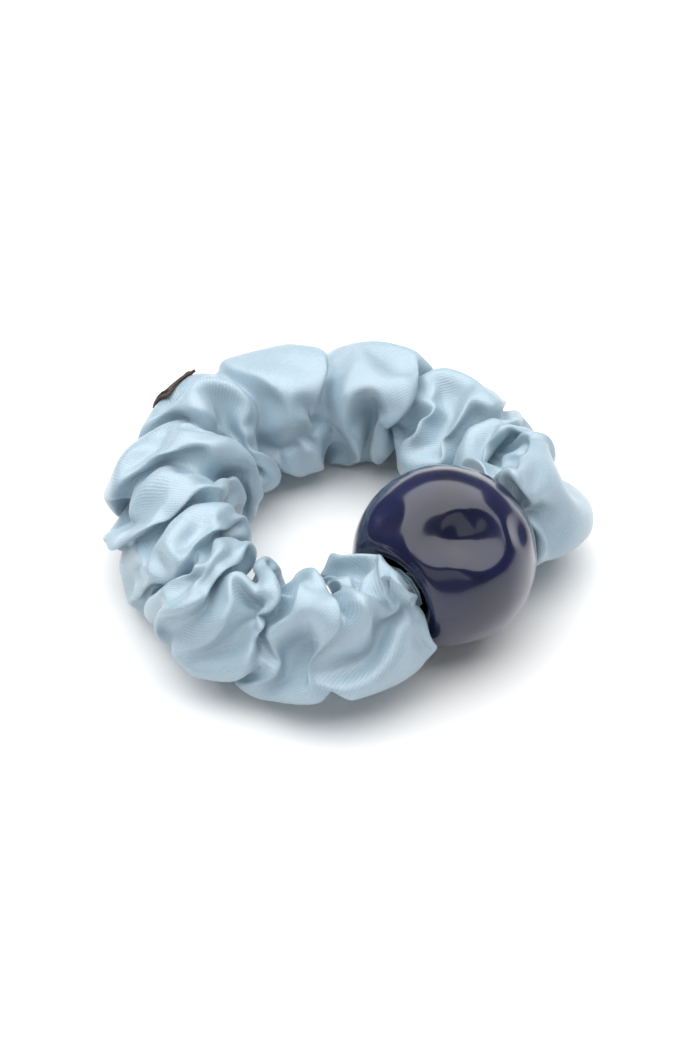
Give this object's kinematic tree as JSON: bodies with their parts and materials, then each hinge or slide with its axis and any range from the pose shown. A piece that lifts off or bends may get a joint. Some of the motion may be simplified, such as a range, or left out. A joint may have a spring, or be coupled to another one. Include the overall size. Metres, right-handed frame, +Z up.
{
  "type": "scrunchie",
  "caption": "Gathered satin hair tie on a flat elastic loop, with a large glossy dented bead threaded on the loop.",
  "frame": {"origin": "centre of the bottom face of the bounding box, on the surface that the scrunchie lies on", "axes": "+Z up from the surface, +Y from the bead to the far side of the loop, +X along the bead's bore"},
  "size_m": [0.0912, 0.0856, 0.034],
  "materials": {
    "bead_gloss": "deep navy, high gloss, softly dented by hand",
    "elastic": "braided white elastic",
    "join_thread": "white sewing thread",
    "satin": "pale blue satin with a soft sheen",
    "sewing_thread": "pale blue sewing thread",
    "label": "dark brown woven ribbon, blank",
    "label_thread": "dark brown sewing thread"
  },
  "bodies": {
    "bead_side": {"satin_cover_left": "satin", "satin_cover_right": "satin", "elastic_band": "elastic", "elastic_join_thread": "join_thread", "seam_thread": "sewing_thread", "left_end_thread": "sewing_thread", "right_end_thread": "sewing_thread"},
    "far_side": {"satin_cover_back": "satin", "woven_label": "label", "label_stitch_left": "label_thread", "label_stitch_right": "label_thread"},
    "bead": {"bead": "bead_gloss"}
  },
  "joints": [
    {"name": "stretch", "type": "slide", "parent": "bead_side", "child": "far_side", "axis": [0, 1, 0], "range_m": [0, 0.06], "stiffness_N_per_m": 80, "deforming": ["elastic_band", "seam_thread"]},
    {"name": "bead_spin", "type": "hinge", "parent": "bead_side", "child": "bead", "pos_m": [0, -0.02591, 0.017], "axis": [1, 0, 0], "continuous": true}
  ]
}
